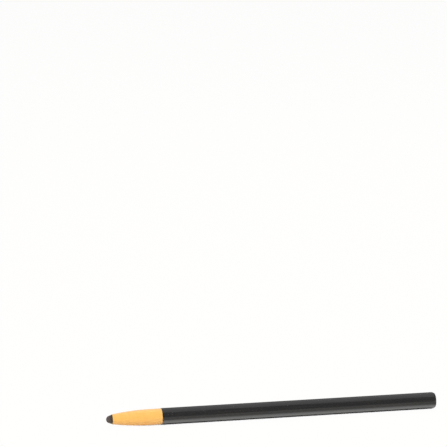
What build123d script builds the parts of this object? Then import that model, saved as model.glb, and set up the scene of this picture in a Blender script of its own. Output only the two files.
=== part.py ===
from build123d import *
import os
from math import asin, atan2, cos, hypot, radians, sin, tan

# A peel-off china marker: a wax core and a pull string inside a wrapper of rolled paper.
# It lies along X, with its writing tip towards -X and its barrel resting on Z = 0.
# Lengths are in millimetres. A station is a distance along the axis, measured from the tip.

# Whole marker
OVERALL_LENGTH = 178.0    # writing tip to rear face
BARREL_DIAMETER = 8.75    # over the black cover

# Wax core
CORE_DIAMETER = 4.9
NOSE_LENGTH = 3.1         # bare wax in front of the paper
NOSE_TIP_RADIUS = 2.0     # rounded end of the nose

# Pull string
STRING_DIAMETER = 0.5
STRING_ANGLE = 60.0       # degrees round the axis, from the top towards the back
TENT_ANGLE = 60.0         # degrees, slope of the plies that bridge over the string

# Paper wrapper
TAPER_LENGTH = 20.5       # ground taper, front rim to full diameter
RIM_WALL = 0.1            # paper left at the front rim
TAPER_STEPS = 8           # short cones that follow the curve of the taper
BAND_COUNT = 20           # peel-off bands between the front rim and the rear face
BARE_BANDS = 3            # bands that stand in front of the cover
SCORE_WIDTH = 0.08        # cut between two bands
ROUNDING_LENGTH = 1.8     # rounded rear edge, along the axis
ROUNDING_DEPTH = 0.65     # and on the radius
ROUNDING_STEPS = 3        # short cones that follow its curve

# Black cover
COVER_THICKNESS = 0.15

# Clearances
CORE_CLEARANCE = 0.05     # wax to paper, on the radius
STRING_CLEARANCE = 0.05   # string to the wax and to its channel
GLUE_LINE = 0.02          # paper to cover, on the radius

barrel_radius = BARREL_DIAMETER / 2
core_radius = CORE_DIAMETER / 2
bore_radius = core_radius + CORE_CLEARANCE
rim_radius = bore_radius + RIM_WALL
cover_bore_radius = barrel_radius - COVER_THICKNESS
paper_radius = cover_bore_radius - GLUE_LINE
string_radius = STRING_DIAMETER / 2
string_offset = core_radius + STRING_CLEARANCE + string_radius
band_pitch = (OVERALL_LENGTH - NOSE_LENGTH) / BAND_COUNT
cover_start = NOSE_LENGTH + BARE_BANDS * band_pitch
rounding_start = OVERALL_LENGTH - ROUNDING_LENGTH

# Level plane through the axis for the turned profiles: its x is the station and its y is the radius.
profile_plane = Plane(origin=(-OVERALL_LENGTH / 2, 0, barrel_radius), x_dir=(1, 0, 0), z_dir=(0, 0, 1))
marker_axis = Axis(profile_plane.origin, profile_plane.x_dir)


def cross_section(station):
    """Plane square to the axis at a station, facing the rear, with its x pointing up."""
    return Plane(origin=profile_plane.from_local_coords((station, 0)), x_dir=(0, 0, 1), z_dir=(1, 0, 0))


def tangent_arc_radius(length, depth):
    """Radius of an arc that leaves the barrel tangent and falls by a depth over a length."""
    return (length**2 + depth**2) / (2 * depth)


def falling_arc(radius, arc_radius, length, steps):
    """Distances along the axis and radii on such an arc, in equal turns, from a cylinder of that radius."""
    turns = [asin(length / arc_radius) * step / steps for step in range(steps + 1)]
    return [(arc_radius * sin(turn), radius - arc_radius * (1 - cos(turn))) for turn in turns]


def rear_rounding(radius):
    """Stations and radii of the rounded rear edge, for a layer of that radius on the barrel."""
    arc_radius = tangent_arc_radius(ROUNDING_LENGTH, ROUNDING_DEPTH) - (barrel_radius - radius)
    arc = falling_arc(radius, arc_radius, ROUNDING_LENGTH, ROUNDING_STEPS)
    return [(rounding_start + run, arc_at) for run, arc_at in arc]


os.makedirs("parts", exist_ok=True)

# Wax core: an extruded rod whose short cone runs tangent into a blunt, rounded nose.
cone_start = (NOSE_LENGTH, core_radius)
tip_to_cone = hypot(NOSE_LENGTH - NOSE_TIP_RADIUS, core_radius)
cone_angle = atan2(core_radius, NOSE_LENGTH - NOSE_TIP_RADIUS) - asin(NOSE_TIP_RADIUS / tip_to_cone)
tip_end = (NOSE_TIP_RADIUS * (1 - sin(cone_angle)), NOSE_TIP_RADIUS * cos(cone_angle))

with BuildPart() as wax_core:
    with BuildSketch(profile_plane):
        with BuildLine():
            TangentArc((0, 0), tip_end, tangent=(0, 1))
            Polyline(tip_end, cone_start, (OVERALL_LENGTH, core_radius), (OVERALL_LENGTH, 0), (0, 0))
        make_face()
    revolve(axis=marker_axis)
wax_core.part.label = "wax_core"
export_step(wax_core.part, "parts/wax_core.step")

# Pull string: laid straight along the wax, from the front rim to the rear face.
with BuildPart() as pull_string:
    with BuildSketch(cross_section(NOSE_LENGTH)):
        with PolarLocations(string_offset, 1, start_angle=-STRING_ANGLE):
            Circle(string_radius)
    extrude(amount=OVERALL_LENGTH - NOSE_LENGTH)
pull_string.part.label = "pull_string"
export_step(pull_string.part, "parts/pull_string.step")

# Paper roll: one length of wrapper, ground to a taper that runs tangent into the barrel.
# The plies bridge over the string, so its channel is a tent that opens into the bore.
# The taper is ground down into that tent near the rim, where the end of the string shows.
taper_arc_radius = tangent_arc_radius(TAPER_LENGTH, paper_radius - rim_radius)
taper = falling_arc(paper_radius, taper_arc_radius, TAPER_LENGTH, TAPER_STEPS)
tent_height = 2 * (string_radius + STRING_CLEARANCE)
tent_width = tent_height / tan(radians(TENT_ANGLE / 2))

with BuildPart() as paper_roll:
    with BuildSketch(profile_plane):
        with BuildLine():
            Polyline(
                *[(NOSE_LENGTH + TAPER_LENGTH - run, radius) for run, radius in taper],
                (NOSE_LENGTH, bore_radius),
                (OVERALL_LENGTH, bore_radius),
                *reversed(rear_rounding(paper_radius)),
                close=True,
            )
        make_face()
    revolve(axis=marker_axis)
    with BuildSketch(cross_section(NOSE_LENGTH)):
        with PolarLocations(string_offset, 1, start_angle=-STRING_ANGLE):
            Trapezoid(tent_width, tent_height, TENT_ANGLE, rotation=-90)
    extrude(amount=OVERALL_LENGTH - NOSE_LENGTH, mode=Mode.SUBTRACT)

# Peel-off bands: the roll scored through at even steps, so that each band unwinds by itself.
for number in range(1, BAND_COUNT + 1):
    band_start = NOSE_LENGTH + (number - 1) * band_pitch
    band_width = band_pitch if number == BAND_COUNT else band_pitch - SCORE_WIDTH
    with BuildPart() as peel_band:
        add(paper_roll.part)
        with BuildSketch(cross_section(band_start)):
            Circle(barrel_radius)
        extrude(amount=band_width, mode=Mode.INTERSECT)
    peel_band.part.label = f"peel_band_{number:02d}"
    export_step(peel_band.part, f"parts/peel_band_{number:02d}.step")

# Black cover: the lacquered outer ply, glued round the bands behind the bare ones and turned in at the rear.
with BuildPart() as black_cover:
    with BuildSketch(profile_plane):
        with BuildLine():
            Polyline(
                (cover_start, cover_bore_radius),
                *rear_rounding(cover_bore_radius),
                *reversed(rear_rounding(barrel_radius)),
                (cover_start, barrel_radius),
                close=True,
            )
        make_face()
    revolve(axis=marker_axis)
black_cover.part.label = "black_cover"
export_step(black_cover.part, "parts/black_cover.step")
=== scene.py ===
from math import asin, atan2, cos, hypot, pi, radians, sin, sqrt, tan, tau

import bpy
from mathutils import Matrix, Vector


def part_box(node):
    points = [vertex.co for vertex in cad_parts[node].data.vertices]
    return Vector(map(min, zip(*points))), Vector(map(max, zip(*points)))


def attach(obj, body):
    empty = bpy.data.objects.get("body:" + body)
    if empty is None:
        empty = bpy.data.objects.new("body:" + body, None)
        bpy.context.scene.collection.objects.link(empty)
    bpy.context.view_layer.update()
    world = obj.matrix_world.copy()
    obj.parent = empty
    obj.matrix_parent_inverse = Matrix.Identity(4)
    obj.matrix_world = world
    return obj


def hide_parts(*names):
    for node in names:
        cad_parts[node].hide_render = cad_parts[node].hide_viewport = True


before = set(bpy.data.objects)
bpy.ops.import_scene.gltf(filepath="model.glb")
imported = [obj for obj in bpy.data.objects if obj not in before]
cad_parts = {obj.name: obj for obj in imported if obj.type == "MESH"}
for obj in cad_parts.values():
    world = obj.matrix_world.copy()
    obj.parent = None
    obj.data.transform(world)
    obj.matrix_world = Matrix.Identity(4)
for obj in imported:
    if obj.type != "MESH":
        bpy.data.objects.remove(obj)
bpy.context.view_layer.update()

# Wax core
# A round rod of black pigmented wax, drawn warm and cut to length, that fills the whole wrapper.
# It stands bare in front of the paper as a blunt point, and its rear end is cut square.
MM = 0.001
TIP_RADIUS = 2.0 * MM
TIP_STEPS = 16
REAR_RECESS = 0.08 * MM
MERGE_DISTANCE = 0.001 * MM
SMOOTH_ANGLE = radians(32)
# The rubbed grey on the nose is partly worn wax and partly a painted highlight on the middle of the
# nose.
RUB_HIGHLIGHT_START_MM = 3.3
RUB_HIGHLIGHT_FULL_MM = 1.2
WAX_BLACK = (0.050, 0.042, 0.041, 1)
WAX_RUBBED_HIGHLIGHT = (0.175, 0.132, 0.126, 1)

core_low, core_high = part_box("wax_core")
tip_x = core_low.x
rear_x = core_high.x
axis_height = (core_low.z + core_high.z) / 2
core_radius = (core_high.y - core_low.y) / 2
rim_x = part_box("peel_band_01")[0].x


def arc(x, radius, arc_radius, first, last, steps):
    """Profile points on an arc round (x, radius), between two angles measured from the +X direction."""
    turns = [first + (last - first) * step / steps for step in range(steps + 1)]
    return [(x + arc_radius * cos(turn), radius + arc_radius * sin(turn)) for turn in turns]


def turned(name, profile, sides=128):
    """Turn a profile of (x, radius) points round the marker's axis into a smooth closed piece."""
    bpy.ops.object.select_all(action="DESELECT")
    bpy.ops.mesh.primitive_plane_add(size=MM)
    piece = bpy.context.object
    piece.name = name
    piece.data.name = name
    bpy.ops.object.mode_set(mode="EDIT")
    bpy.ops.mesh.merge(type="CENTER")
    bpy.ops.transform.translate(value=(profile[0][0], 0, axis_height + profile[0][1]))
    for (x, radius), (next_x, next_radius) in zip(profile, profile[1:]):
        step = (next_x - x, 0, next_radius - radius)
        bpy.ops.mesh.extrude_region_move(TRANSFORM_OT_translate={"value": step})
    bpy.ops.mesh.select_all(action="SELECT")
    bpy.ops.mesh.spin(steps=sides, angle=tau, center=(0, 0, axis_height), axis=(1, 0, 0))
    bpy.ops.mesh.select_all(action="SELECT")
    bpy.ops.mesh.remove_doubles(threshold=MERGE_DISTANCE)
    bpy.ops.mesh.normals_make_consistent(inside=False)
    bpy.ops.object.mode_set(mode="OBJECT")
    bpy.ops.object.shade_smooth_by_angle(angle=SMOOTH_ANGLE)
    return piece


class Socket:
    """A value in a node tree: arithmetic on it adds Math nodes, and node() adds any other node."""

    def __init__(self, tree, output):
        self.tree = tree
        self.output = output

    def node(self, kind, inputs, output=0, **settings):
        """Add a node, set it up, then fill or link its inputs, and give one of its outputs."""
        made = self.tree.nodes.new(kind)
        for name, setting in settings.items():
            setattr(made, name, setting)
        for name, value in inputs.items():
            if isinstance(value, Socket):
                self.tree.links.new(value.output, made.inputs[name])
            else:
                made.inputs[name].default_value = value
        return Socket(self.tree, made.outputs[output])

    def math(self, operation, other=0.0):
        return self.node("ShaderNodeMath", {0: self, 1: other}, operation=operation)

    def __add__(self, other):
        return self.math("ADD", other)

    __radd__ = __add__

    def __mul__(self, other):
        return self.math("MULTIPLY", other)

    __rmul__ = __mul__

    def __sub__(self, other):
        return self.math("SUBTRACT", other)

    def __rsub__(self, other):
        return self.node("ShaderNodeMath", {0: other, 1: self}, operation="SUBTRACT")

    def smooth(self, low, high):
        """0 at low, 1 at high, and a smooth rise between them; high may be the lower of the two."""
        span = {"Value": self, "From Min": low, "From Max": high}
        return self.node("ShaderNodeMapRange", span, interpolation_type="SMOOTHSTEP")

    def tint(self, none, full):
        """The colour none where this value is 0, and the colour full where it is 1."""
        factor, first_colour, second_colour, mixed_colour = 0, 6, 7, 2
        inputs = {factor: self, first_colour: none, second_colour: full}
        return self.node("ShaderNodeMix", inputs, output=mixed_colour, data_type="RGBA")

    def axis(self, name):
        """The X, Y or Z of this vector."""
        return self.node("ShaderNodeSeparateXYZ", {"Vector": self}, output=name)

    def stretched(self, x, y, z):
        """This vector with each axis scaled."""
        return self.node("ShaderNodeVectorMath", {0: self, 1: (x, y, z)}, operation="MULTIPLY")

    def noise(self, scale, detail=4.0, roughness=0.55):
        """Cloudy noise over this vector, from 0 to 1."""
        inputs = {"Vector": self, "Scale": scale, "Detail": detail, "Roughness": roughness}
        return self.node("ShaderNodeTexNoise", inputs)


class Finish:
    """A new material, and the place of its surface in millimetres from the tip and the axis."""

    def __init__(self, name, specular=0.5):
        self.material = bpy.data.materials.new(name)
        self.material.use_nodes = True
        tree = self.material.node_tree
        self.shader = tree.nodes["Principled BSDF"]
        self.shader.inputs["Specular IOR Level"].default_value = specular
        surface = Socket(tree, self.shader.outputs["BSDF"])
        centring = {
            "Vector": surface.node("ShaderNodeTexCoord", {}, output="Object"),
            "Location": (-tip_x / MM, 0, -axis_height / MM),
            "Scale": (1 / MM, 1 / MM, 1 / MM),
        }
        self.point = surface.node("ShaderNodeMapping", centring)
        self.station = self.point.axis("X")

    def feed(self, name, value):
        """Link a varying value to one of the shader's sockets."""
        self.material.node_tree.links.new(value.output, self.shader.inputs[name])

    def relief(self, height, depth_mm):
        """Raise the surface by a height from 0 to 1, as deep as said."""
        bump = {"Height": height, "Distance": depth_mm * MM, "Strength": 1.0}
        self.feed("Normal", height.node("ShaderNodeBump", bump))

    def put_on(self, *pieces):
        """Give pieces this material and no other."""
        for piece in pieces:
            piece.data.materials.clear()
            piece.data.materials.append(self.material)


cone_length = rim_x - tip_x - TIP_RADIUS
cone_slope = atan2(core_radius, cone_length) - asin(TIP_RADIUS / hypot(cone_length, core_radius))
point_arc = arc(tip_x + TIP_RADIUS, 0, TIP_RADIUS, pi, pi / 2 + cone_slope, TIP_STEPS)
core_end = rear_x - REAR_RECESS
core_profile = [*point_arc, (rim_x, core_radius), (core_end, core_radius), (core_end, 0)]
wax_core = turned("wax_core_drawn", core_profile)

wax = Finish("black_wax")
# Rubbed patches lighten the wax from near the paper's rim towards the tip: partly worn wax, partly a
# painted highlight on the nose.
rub_and_highlight_reach = wax.station.smooth(RUB_HIGHLIGHT_START_MM, RUB_HIGHLIGHT_FULL_MM)
rubbed_and_highlight = wax.point.stretched(0.8, 2.4, 2.4).noise(1.1, detail=8, roughness=0.62) * rub_and_highlight_reach
smears = wax.point.stretched(0.5, 3.0, 3.0).noise(2.2, detail=5)
wax.feed("Base Color", rubbed_and_highlight.smooth(0.22, 0.80).tint(WAX_BLACK, WAX_RUBBED_HIGHLIGHT))
wax.feed("Roughness", 0.34 + smears * 0.28)
wax.relief(smears * 0.6 + wax.point.noise(9.0) * 0.4, depth_mm=0.05)
wax.put_on(wax_core)
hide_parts("wax_core")
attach(wax_core, "barrel")

# Pull string
# Three cotton strands twisted into a thin string, laid straight along the wax under the paper.
# Pulled sideways, it slits the paper over it; its end shows where the taper is ground into its channel.
STRAND_COUNT = 3
STRAND_SIDES = 8
STRAND_SMOOTH_ANGLE = radians(60)
TWIST_LENGTH = 1.5 * MM
STEPS_A_TWIST = 12
COTTON = (0.80, 0.74, 0.60, 1)
COTTON_SHADE = (0.52, 0.44, 0.32, 1)

string_low, string_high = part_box("pull_string")
string_middle = (string_low + string_high) / 2
string_radius = (string_high.y - string_low.y) / 2
string_length = string_high.x - string_low.x
strand_radius = string_radius / (1 + 1 / sin(pi / STRAND_COUNT))
twists = round(string_length / TWIST_LENGTH)

bpy.ops.object.select_all(action="DESELECT")
bpy.ops.mesh.primitive_circle_add(vertices=STRAND_SIDES, radius=strand_radius)
pull_string = bpy.context.object
pull_string.name = "pull_string_twisted"
bpy.ops.object.mode_set(mode="EDIT")
bpy.ops.transform.rotate(value=pi / 2, orient_axis="Y", center_override=(0, 0, 0))
bpy.ops.transform.translate(value=(0, 0, string_radius - strand_radius))
bpy.ops.mesh.spin(steps=STRAND_COUNT, angle=tau, dupli=True, center=(0, 0, 0), axis=(1, 0, 0))
bpy.ops.mesh.select_all(action="SELECT")
bpy.ops.mesh.remove_doubles(threshold=MERGE_DISTANCE)
bpy.ops.object.mode_set(mode="OBJECT")
bpy.ops.object.modifier_add(type="SCREW")
twist = pull_string.modifiers[-1]
twist.axis = "X"
twist.angle = tau * twists
twist.screw_offset = string_length
twist.steps = twists * STEPS_A_TWIST
twist.render_steps = twist.steps
bpy.ops.object.modifier_apply(modifier=twist.name)
bpy.ops.object.mode_set(mode="EDIT")
bpy.ops.mesh.select_all(action="SELECT")
bpy.ops.mesh.fill_holes(sides=STRAND_SIDES)
bpy.ops.mesh.normals_make_consistent(inside=False)
bpy.ops.transform.translate(value=(string_low.x, string_middle.y, string_middle.z))
bpy.ops.object.mode_set(mode="OBJECT")
bpy.ops.object.shade_smooth_by_angle(angle=STRAND_SMOOTH_ANGLE)

cotton = Finish("twisted_cotton", specular=0.2)
cotton.shader.inputs["Roughness"].default_value = 0.9
fibres = cotton.point.stretched(1.0, 5.0, 5.0).noise(6.0, detail=6, roughness=0.7)
cotton.feed("Base Color", fibres.smooth(0.3, 0.7).tint(COTTON_SHADE, COTTON))
cotton.relief(fibres, depth_mm=0.04)
cotton.put_on(pull_string)
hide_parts("pull_string")
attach(pull_string, "barrel")

# Bare bands
# The front of the wrapper, rolled from yellow paper and ground to a taper that ends in a thin rim.
# Knife scores part it into bands that peel off one by one, so their lips all but touch.
# The plies bridge over the string, so its channel along the bore is a tent with sloping sides.
CORE_CLEARANCE = 0.05 * MM
RIM_WALL = 0.1 * MM
TAPER_LENGTH = 20.5 * MM
LIP_REACH = 0.06 * MM
LIP_ROUND = 0.03 * MM
WALL_SLICES = 24
STRING_CLEARANCE = 0.05 * MM
TENT_SLOPE = radians(60)
TENT_BAND_LENGTHS = 3
FACING_OUT = 0.5
SQUARE_CUT = 0.99
PLY_MM = 0.16
SMUDGE_START_MM = 6.0
SMUDGE_FULL_MM = 2.4
PAPER_YELLOW = (0.93, 0.485, 0.100, 1)
PAPER_LIGHT = (0.95, 0.550, 0.145, 1)
PLY_EDGE = (0.86, 0.38, 0.075, 1)
WAX_SMUDGE = (0.36, 0.23, 0.115, 1)
CUT_LIGHT = (0.93, 0.52, 0.15, 1)
CUT_DARK = (0.50, 0.21, 0.045, 1)

bore_radius = core_radius + CORE_CLEARANCE
widest_low, widest_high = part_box("peel_band_03")
paper_radius = (widest_high.y - widest_low.y) / 2
taper_end = rim_x + TAPER_LENGTH
taper_fall = paper_radius - bore_radius - RIM_WALL
taper_arc = (TAPER_LENGTH**2 + taper_fall**2) / (2 * taper_fall)
tent_height = 2 * (string_radius + STRING_CLEARANCE)
tent_width = tent_height / tan(TENT_SLOPE / 2)
tent_ridge = tent_width - 2 * tent_height / tan(TENT_SLOPE)


def wrapper_radius(x):
    """Outer radius of the ground paper at a place along the axis."""
    run = max(0, taper_end - x)
    return paper_radius - taper_arc + sqrt(taper_arc**2 - run**2)


def bare_band(node, body):
    """One band of ground paper with softened lips, and the string's tent cut along its bore."""
    low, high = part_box(node)
    front = low.x
    rear = high.x + LIP_REACH
    slice_length = (rear - front - 2 * LIP_ROUND) / WALL_SLICES
    slices = [front + LIP_ROUND + slice_length * number for number in range(WALL_SLICES + 1)]
    profile = [
        (front, bore_radius),
        (front, wrapper_radius(front) - LIP_ROUND),
        *[(x, wrapper_radius(x)) for x in slices],
        (rear, wrapper_radius(rear) - LIP_ROUND),
        (rear, bore_radius),
        (front, bore_radius),
    ]
    band = turned(f"{node}_ground", profile)
    bpy.ops.object.select_all(action="DESELECT")
    bpy.ops.mesh.primitive_cube_add(size=1)
    tent = bpy.context.object
    tent.scale = (TENT_BAND_LENGTHS * (rear - front), tent_width, tent_height)
    tent.rotation_euler.x = -atan2(string_middle.y, string_middle.z - axis_height)
    tent.location = (front, string_middle.y, string_middle.z)
    bpy.ops.object.mode_set(mode="EDIT")
    bpy.ops.mesh.select_all(action="DESELECT")
    bpy.ops.object.mode_set(mode="OBJECT")
    for face in tent.data.polygons:
        face.select = face.normal.z > FACING_OUT
    bpy.ops.object.mode_set(mode="EDIT")
    bpy.ops.transform.resize(value=(1, tent_ridge / tent_width, 1), orient_type="LOCAL")
    bpy.ops.object.mode_set(mode="OBJECT")
    bpy.ops.object.select_all(action="DESELECT")
    bpy.context.view_layer.objects.active = band
    band.select_set(True)
    bpy.ops.object.modifier_add(type="BOOLEAN")
    channel = band.modifiers[-1]
    channel.operation = "DIFFERENCE"
    channel.object = tent
    bpy.ops.object.modifier_apply(modifier=channel.name)
    bpy.ops.object.shade_smooth_by_angle(angle=SMOOTH_ANGLE)
    bpy.data.objects.remove(tent)
    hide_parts(node)
    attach(band, body)
    return band


def ply_number(finish):
    """Plies between the bore and this point, counted along the spiral in which the sheet is rolled."""
    from_axis = finish.point.stretched(0, 1, 1)
    radius = from_axis.node("ShaderNodeVectorMath", {0: from_axis}, output="Value", operation="LENGTH")
    turn = finish.point.axis("Y").math("ARCTAN2", finish.point.axis("Z")) * (1 / tau)
    return (radius - bore_radius / MM) * (1 / PLY_MM) + turn


bare_bands = [
    bare_band("peel_band_01", "front_band"),
    bare_band("peel_band_02", "second_band"),
    bare_band("peel_band_03", "third_band"),
]

paper = Finish("rolled_paper", specular=0.8)
paper.shader.inputs["Sheen Weight"].default_value = 0.5
paper.shader.inputs["Sheen Roughness"].default_value = 0.55
plies = ply_number(paper)
ply_end = plies.math("FRACT").smooth(0.14, 0.0)
ply_tone = plies.node("ShaderNodeTexWhiteNoise", {"W": plies.math("FLOOR")}, noise_dimensions="1D")
blotches = paper.point.noise(0.45, detail=3)
pulp = paper.point.stretched(2.2, 6.0, 6.0).noise(1.6, detail=7, roughness=0.68)
smudge_reach = paper.station.smooth(SMUDGE_START_MM, SMUDGE_FULL_MM)
smudged = paper.point.noise(1.1, detail=6).smooth(0.48, 0.72) * smudge_reach
sheet = (pulp * 0.75 + blotches * 0.45 + ply_tone * 0.12 - 0.16).smooth(0.25, 0.75)
ground = (ply_end * 0.25).tint(sheet.tint(PAPER_YELLOW, PAPER_LIGHT), PLY_EDGE)
paper.feed("Base Color", (smudged * 0.35).tint(ground, WAX_SMUDGE))
paper.feed("Roughness", 0.40 + pulp * 0.2)
paper.relief(pulp * 0.8 + (1 - ply_end) * 0.2, depth_mm=0.02)
paper.put_on(*bare_bands)

cut_paper = Finish("cut_paper", specular=0.3)
between = ply_number(cut_paper).math("PINGPONG", 0.5).smooth(0.13, 0.0)
fuzz = cut_paper.point.noise(7.0, detail=6, roughness=0.7)
shaded = between * 0.75 + fuzz.smooth(0.55, 0.8) * 0.25
cut_paper.feed("Base Color", shaded.tint(CUT_LIGHT, CUT_DARK))
cut_paper.feed("Roughness", 0.75 + fuzz * 0.2)
cut_paper.relief((1 - between) * 0.7 + fuzz * 0.3, depth_mm=0.03)
for band in bare_bands:
    band.data.materials.append(cut_paper.material)
    for face in band.data.polygons:
        face.material_index = 1 if abs(face.normal.x) > SQUARE_CUT else 0

# Covered bands
# The rest of the same paper roll, scored at the same steps under the black cover.
# Their cut ends show the plies as a spiral, at the rear face and behind the bands that are peeled off.
FIRST_COVERED = 4
LAST_COVERED = 20

covered_numbers = range(FIRST_COVERED, LAST_COVERED + 1)
cut_paper.put_on(*[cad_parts[f"peel_band_{number:02d}"] for number in covered_numbers])

# Black cover
# The outer ply: one sheet of paper lacquered gloss black, glued round the roll behind the bare bands.
# Its front edge is a clean cut, and its rear edge is turned in over the rounded end of the roll.
COVER_WALL = 0.15 * MM
COVER_SIDES = 192
FRONT_EDGE_ROUND = 0.05 * MM
FRONT_EDGE_STEPS = 4
ROUNDING_LENGTH = 1.8 * MM
ROUNDING_DEPTH = 0.65 * MM
ROUNDING_STEPS = 12
FRONT_WEAR_MM = 0.25
REAR_WEAR_MM = 0.5
LACQUER_BLACK = (0.006, 0.006, 0.007, 1)
LACQUER_STREAKED = (0.016, 0.015, 0.015, 1)
LACQUER_WORN = (0.060, 0.052, 0.046, 1)

cover_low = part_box("black_cover")[0]
cover_x = cover_low.x
barrel_radius = axis_height - cover_low.z
cover_bore = barrel_radius - COVER_WALL
edge_x = cover_x + FRONT_EDGE_ROUND
edge_radius = barrel_radius - FRONT_EDGE_ROUND
front_edge = arc(edge_x, edge_radius, FRONT_EDGE_ROUND, pi, pi / 2, FRONT_EDGE_STEPS)
rounding_x = rear_x - ROUNDING_LENGTH
outer_arc = (ROUNDING_LENGTH**2 + ROUNDING_DEPTH**2) / (2 * ROUNDING_DEPTH)
outer_end = pi / 2 - asin(ROUNDING_LENGTH / outer_arc)
inner_arc = outer_arc - COVER_WALL
inner_end = pi / 2 - asin(ROUNDING_LENGTH / inner_arc)
rounding_centre = barrel_radius - outer_arc
turned_in = arc(rounding_x, rounding_centre, outer_arc, pi / 2, outer_end, ROUNDING_STEPS)
turned_back = arc(rounding_x, rounding_centre, inner_arc, inner_end, pi / 2, ROUNDING_STEPS)
cover_profile = [(cover_x, cover_bore), *front_edge, *turned_in, *turned_back, (cover_x, cover_bore)]
black_cover = turned("black_cover_lacquered", cover_profile, sides=COVER_SIDES)

lacquer = Finish("black_lacquer", specular=0.9)
lacquer.shader.inputs["Coat Weight"].default_value = 1.0
lacquer.shader.inputs["Coat Roughness"].default_value = 0.12
lacquer.shader.inputs["Coat IOR"].default_value = 1.7
streaks = lacquer.point.stretched(0.04, 1.6, 1.6).noise(1.5, detail=5)
grain = lacquer.point.noise(2.5, detail=5, roughness=0.6)
uneven = streaks * 0.6 + grain * 0.4
mottled = uneven.smooth(0.36, 0.64).tint(LACQUER_BLACK, LACQUER_STREAKED)
cover_front_mm = (cover_x - tip_x) / MM
cover_rear_mm = (rear_x - tip_x) / MM
front_wear = lacquer.station.smooth(cover_front_mm + FRONT_WEAR_MM, cover_front_mm)
rear_wear = lacquer.station.smooth(cover_rear_mm - REAR_WEAR_MM, cover_rear_mm)
worn = (grain * (front_wear + rear_wear)).smooth(0.4, 0.6)
lacquer.feed("Base Color", worn.tint(mottled, LACQUER_WORN))
lacquer.feed("Roughness", 0.11 + grain * 0.07 + streaks * 0.05)
lacquer.relief(uneven, depth_mm=0.04)
lacquer.put_on(black_cover)
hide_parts("black_cover")
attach(black_cover, "barrel")

# Studio
# A wide floor under a broad overhead softbox, in a grey room that is dimmer on the camera's side.
# The floor is white to the camera, and its warm paint shows only in the light that it throws back.
# In reflections it dims at a low angle and close under the marker.
FLOOR_SIZE = 30.0
FLOOR_PAINT = (0.95, 0.87, 0.68, 1)
FLOOR_GLOW = 0.96
LOW_ANGLE = (0.05, 0.46)
LOW_ANGLE_WHITE = 0.28
CONTACT_REACH = 0.006
CONTACT_SEEN = (0.0, 0.05)
CONTACT_REFLECTED = (0.2, 0.42)
ROOM_FRONT = 0.132
ROOM_BACK = 0.172
ROOM_TURN = (-0.6, 0.1)

bpy.ops.object.select_all(action="DESELECT")
bpy.ops.mesh.primitive_plane_add(size=FLOOR_SIZE)
floor = bpy.context.object
floor.name = "white_floor"
floor_paint = bpy.data.materials.new("white_floor")
floor_paint.use_nodes = True
floor_tree = floor_paint.node_tree
floor_shader = floor_tree.nodes["Principled BSDF"]
floor_shader.inputs["Base Color"].default_value = FLOOR_PAINT
floor_shader.inputs["Roughness"].default_value = 0.9
painted = Socket(floor_tree, floor_shader.outputs["BSDF"])
seen = painted.node("ShaderNodeLightPath", {}, output="Is Camera Ray")
reflected = painted.node("ShaderNodeLightPath", {}, output="Is Glossy Ray")
through = painted.node("ShaderNodeLightPath", {}, output="Is Transmission Ray")
low_angle = painted.node("ShaderNodeLayerWeight", {"Blend": 0.5}, output="Facing").smooth(*LOW_ANGLE)
open_air = painted.node("ShaderNodeAmbientOcclusion", {"Distance": CONTACT_REACH}, output="AO")
reflected_white = open_air.smooth(*CONTACT_REFLECTED) * (1 - low_angle * (1 - LOW_ANGLE_WHITE))
glow = painted.node("ShaderNodeEmission", {"Color": 1 - reflected * (1 - reflected_white)})
glowing = ((seen + through) * open_air.smooth(*CONTACT_SEEN) + reflected) * FLOOR_GLOW
floor_mix = painted.node("ShaderNodeMixShader", {0: glowing, 1: painted, 2: glow})
floor_tree.links.new(floor_mix.output, floor_tree.nodes["Material Output"].inputs["Surface"])
floor.data.materials.append(floor_paint)

world = bpy.data.worlds.new("studio")
bpy.context.scene.world = world
world.use_nodes = True
room_tree = world.node_tree
room_shader = room_tree.nodes["Background"]
room = Socket(room_tree, room_shader.outputs["Background"])
backwards = room.node("ShaderNodeTexCoord", {}, output="Generated").axis("Y")
room_grey = ROOM_FRONT + backwards.smooth(*ROOM_TURN) * (ROOM_BACK - ROOM_FRONT)
room_tree.links.new(room_grey.output, room_shader.inputs["Color"])


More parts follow.
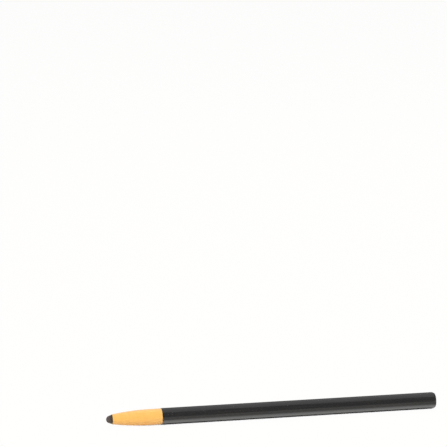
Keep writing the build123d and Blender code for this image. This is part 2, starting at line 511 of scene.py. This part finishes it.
def lamp(name, place, aim, size, watts, mirrored=True):
    """A square softbox that faces a point; one that isn't mirrored gives light but no reflection."""
    light = bpy.data.lights.new(name, "AREA")
    light.energy = watts
    light.size = size
    box = bpy.data.objects.new(name, light)
    box.location = place
    box.rotation_euler = (Vector(aim) - Vector(place)).to_track_quat("-Z", "Y").to_euler()
    box.visible_glossy = mirrored
    bpy.context.scene.collection.objects.link(box)


lamp("overhead_softbox", place=(0, 0.4, 0.9), aim=(0, 0.4, 0), size=1.6, watts=1.4)
lamp("key_softbox", place=(-0.3, -0.8, 1.05), aim=(0, 0, 0), size=0.6, watts=15.9, mirrored=False)
lamp("back_softbox", place=(0.3, 0.8, 1.05), aim=(0, 0, 0), size=0.6, watts=7.0, mirrored=False)

# Camera
# A long lens a little above the floor and to the side of the writing tip.
# The marker lies low in a square frame, and the place of its middle is given in pixels of that frame.
FRAME_PIXELS = 447
MIDDLE_PIXEL = (272.5, 409.65)
PIXELS_A_METRE = 1895
LENS_MM = 300
SENSOR_MM = 36
AZIMUTH = radians(-13.7)
ELEVATION = radians(15)

view_back = Vector((sin(AZIMUTH) * cos(ELEVATION), -cos(AZIMUTH) * cos(ELEVATION), sin(ELEVATION)))
view_right = Vector((cos(AZIMUTH), sin(AZIMUTH), 0))
view_up = view_back.cross(view_right)
marker_middle = Vector(((tip_x + rear_x) / 2, 0, axis_height))
camera_data = bpy.data.cameras.new("camera")
camera_data.lens = LENS_MM
camera_data.sensor_width = SENSOR_MM
camera = bpy.data.objects.new("camera", camera_data)
distance = LENS_MM / SENSOR_MM * FRAME_PIXELS / PIXELS_A_METRE
camera.location = marker_middle + view_back * distance
left = (MIDDLE_PIXEL[0] - FRAME_PIXELS / 2) / PIXELS_A_METRE
above = (MIDDLE_PIXEL[1] - FRAME_PIXELS / 2) / PIXELS_A_METRE
aim = marker_middle - view_right * left + view_up * above
camera.rotation_euler = (aim - camera.location).to_track_quat("-Z", "Y").to_euler()
bpy.context.scene.collection.objects.link(camera)
bpy.context.scene.camera = camera
bpy.context.scene.view_settings.view_transform = "Standard"
